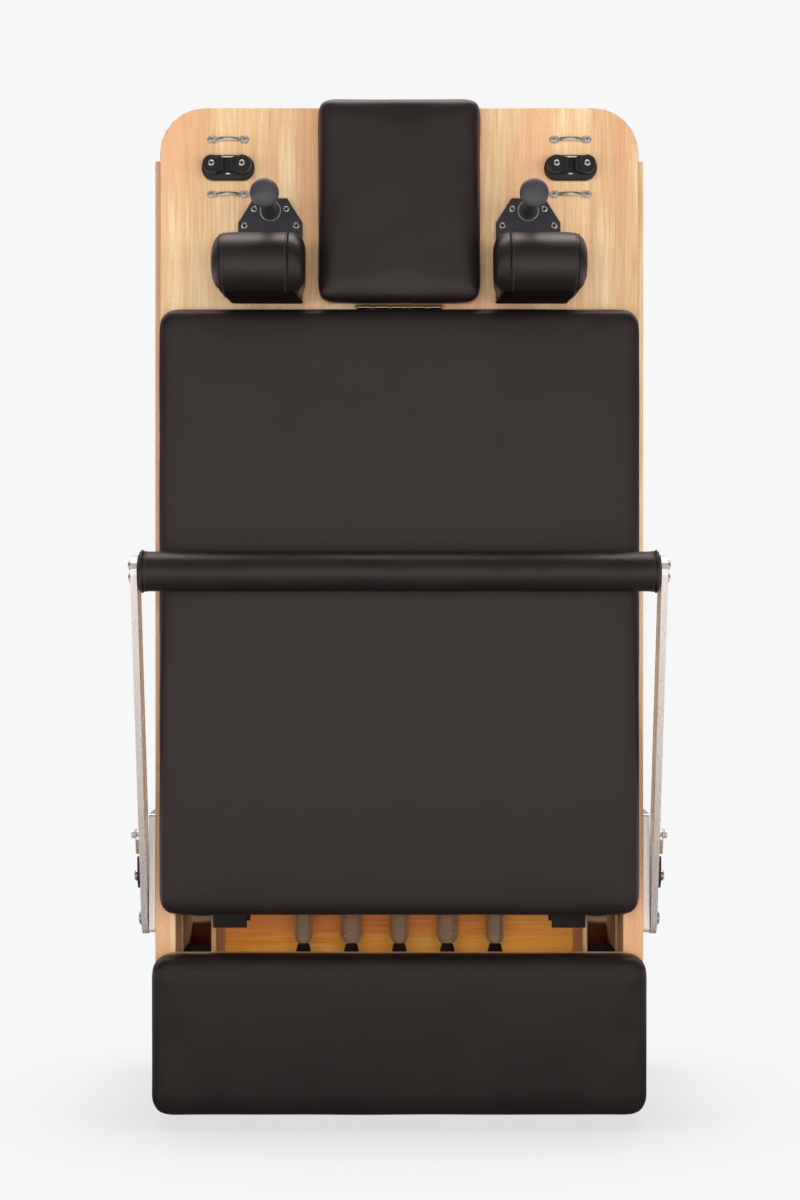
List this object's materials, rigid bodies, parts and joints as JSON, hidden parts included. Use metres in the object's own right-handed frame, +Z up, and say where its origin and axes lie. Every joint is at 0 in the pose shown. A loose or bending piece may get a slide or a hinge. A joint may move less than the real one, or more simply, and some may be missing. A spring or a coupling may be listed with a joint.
{
  "type": "folding pilates reformer",
  "caption": "Wooden pilates reformer, folded in half and stood on end, with a padded sprung carriage, shoulder rests, headrest and a swinging footbar.",
  "frame": {"origin": "on the floor, at the middle of the folded object's box", "axes": "+Z up along the rails, towards the fold; -Y the side that the carriage faces; +X to the right as seen from there"},
  "size_m": [0.677, 0.605, 1.2855],
  "materials": {
    "wood": "satin",
    "panel_wood": "satin",
    "leatherette": "satin",
    "steel": "satin",
    "chrome": "polished",
    "bronze": "satin",
    "black_metal": "satin",
    "black_plastic": "satin",
    "wheel": "satin",
    "rubber": "matte"
  },
  "bodies": {
    "foot_half": {"left_foot_rail": "wood", "right_foot_rail": "wood", "left_foot_track": "wood", "right_foot_track": "wood", "foot_end_board": "wood", "foot_bottom_panel": "panel_wood", "foot_fold_hinge": "steel", "platform_board": "wood", "platform_pad": "leatherette", "spring_bar": "black_metal", "spring_1": "steel", "spring_2": "steel", "spring_3": "steel", "spring_4": "steel", "spring_5": "steel", "left_footbar_bracket": "steel", "right_footbar_bracket": "steel", "left_foot_corner_foot": "rubber", "right_foot_corner_foot": "rubber"},
    "head_half": {"left_head_rail": "wood", "right_head_rail": "wood", "left_head_track": "wood", "right_head_track": "wood", "head_end_board": "wood", "head_bottom_panel": "panel_wood", "head_fold_hinge": "steel", "left_head_corner_foot": "rubber", "right_head_corner_foot": "rubber"},
    "carriage": {"carriage_board": "wood", "carriage_pad": "leatherette", "left_wheel_beam": "black_metal", "right_wheel_beam": "black_metal", "left_shoulder_bracket": "black_metal", "right_shoulder_bracket": "black_metal", "left_shoulder_bolster": "leatherette", "right_shoulder_bolster": "leatherette", "left_cleat_base": "black_plastic", "right_cleat_base": "black_plastic", "headrest_hinge": "bronze", "left_upper_eye_strap": "chrome", "left_lower_eye_strap": "chrome", "right_upper_eye_strap": "chrome", "right_lower_eye_strap": "chrome"},
    "headrest": {"headrest_board": "wood", "headrest_pad": "leatherette"},
    "footbar": {"left_footbar_arm": "steel", "right_footbar_arm": "steel", "footbar_tube": "leatherette"},
    "left_lower_wheel": {"left_lower_wheel": "wheel"},
    "left_upper_wheel": {"left_upper_wheel": "wheel"},
    "left_cleat_inner_cam": {"left_cleat_inner_cam": "black_plastic"},
    "left_cleat_outer_cam": {"left_cleat_outer_cam": "black_plastic"},
    "left_lock_pawl": {"left_lock_pawl": "black_metal"},
    "left_pulley": {"left_pulley": "black_plastic"},
    "right_lower_wheel": {"right_lower_wheel": "wheel"},
    "right_upper_wheel": {"right_upper_wheel": "wheel"},
    "right_cleat_inner_cam": {"right_cleat_inner_cam": "black_plastic"},
    "right_cleat_outer_cam": {"right_cleat_outer_cam": "black_plastic"},
    "right_lock_pawl": {"right_lock_pawl": "black_metal"},
    "right_pulley": {"right_pulley": "black_plastic"}
  },
  "joints": [
    {"name": "fold", "type": "hinge", "parent": "foot_half", "child": "head_half", "pos_m": [0, 0.0245, 1.22], "axis": [1, 0, 0], "range_deg": [0, 180]},
    {"name": "carriage_slide", "type": "slide", "parent": "foot_half", "child": "carriage", "axis": [0, 0, 1], "range_m": [0, 0.95], "stiffness_N_per_m": 260, "deforming": ["spring_1", "spring_2", "spring_3", "spring_4", "spring_5"]},
    {"name": "headrest_tilt", "type": "hinge", "parent": "carriage", "child": "headrest", "pos_m": [0, -0.1733, 1.0297], "axis": [1, 0, 0], "range_deg": [0, 18]},
    {"name": "footbar_swing", "type": "hinge", "parent": "foot_half", "child": "footbar", "pos_m": [0, -0.1245, 0.256], "axis": [1, 0, 0], "range_deg": [0, 90]},
    {"name": "left_lower_wheel_roll", "type": "hinge", "parent": "carriage", "child": "left_lower_wheel", "pos_m": [-0.256, -0.1028, 0.332], "axis": [1, 0, 0], "continuous": true},
    {"name": "left_upper_wheel_roll", "type": "hinge", "parent": "carriage", "child": "left_upper_wheel", "pos_m": [-0.256, -0.1028, 1.122], "axis": [1, 0, 0], "continuous": true},
    {"name": "left_cleat_inner_cam_turn", "type": "hinge", "parent": "carriage", "child": "left_cleat_inner_cam", "pos_m": [-0.196, -0.1871, 1.206], "axis": [0, 1, 0], "range_deg": [0, 40], "stiffness_Nm_per_rad": 0.02},
    {"name": "left_cleat_outer_cam_turn", "type": "hinge", "parent": "carriage", "child": "left_cleat_outer_cam", "pos_m": [-0.234, -0.1871, 1.206], "axis": [0, -1, 0], "range_deg": [0, 40], "stiffness_Nm_per_rad": 0.02},
    {"name": "left_lock_pawl_turn", "type": "hinge", "parent": "footbar", "child": "left_lock_pawl", "pos_m": [-0.3302, -0.1391, 0.3121], "axis": [1, 0, 0], "range_deg": [0, 20], "stiffness_Nm_per_rad": 0.05},
    {"name": "left_pulley_spin", "type": "hinge", "parent": "head_half", "child": "left_pulley", "pos_m": [-0.22, 0.2745, 0.029], "axis": [1, 0, 0], "continuous": true},
    {"name": "right_lower_wheel_roll", "type": "hinge", "parent": "carriage", "child": "right_lower_wheel", "pos_m": [0.256, -0.1028, 0.332], "axis": [1, 0, 0], "continuous": true},
    {"name": "right_upper_wheel_roll", "type": "hinge", "parent": "carriage", "child": "right_upper_wheel", "pos_m": [0.256, -0.1028, 1.122], "axis": [1, 0, 0], "continuous": true},
    {"name": "right_cleat_inner_cam_turn", "type": "hinge", "parent": "carriage", "child": "right_cleat_inner_cam", "pos_m": [0.196, -0.1871, 1.206], "axis": [0, -1, 0], "range_deg": [0, 40], "stiffness_Nm_per_rad": 0.02},
    {"name": "right_cleat_outer_cam_turn", "type": "hinge", "parent": "carriage", "child": "right_cleat_outer_cam", "pos_m": [0.234, -0.1871, 1.206], "axis": [0, 1, 0], "range_deg": [0, 40], "stiffness_Nm_per_rad": 0.02},
    {"name": "right_lock_pawl_turn", "type": "hinge", "parent": "footbar", "child": "right_lock_pawl", "pos_m": [0.3302, -0.1391, 0.3121], "axis": [1, 0, 0], "range_deg": [0, 20], "stiffness_Nm_per_rad": 0.05},
    {"name": "right_pulley_spin", "type": "hinge", "parent": "head_half", "child": "right_pulley", "pos_m": [0.22, 0.2745, 0.029], "axis": [1, 0, 0], "continuous": true}
  ],
  "couplings": [
    {"joint": "left_lower_wheel_roll", "follows": "carriage_slide", "rad_per_m": -41.152},
    {"joint": "left_upper_wheel_roll", "follows": "carriage_slide", "rad_per_m": -41.152},
    {"joint": "right_lower_wheel_roll", "follows": "carriage_slide", "rad_per_m": -41.152},
    {"joint": "right_upper_wheel_roll", "follows": "carriage_slide", "rad_per_m": -41.152}
  ]
}
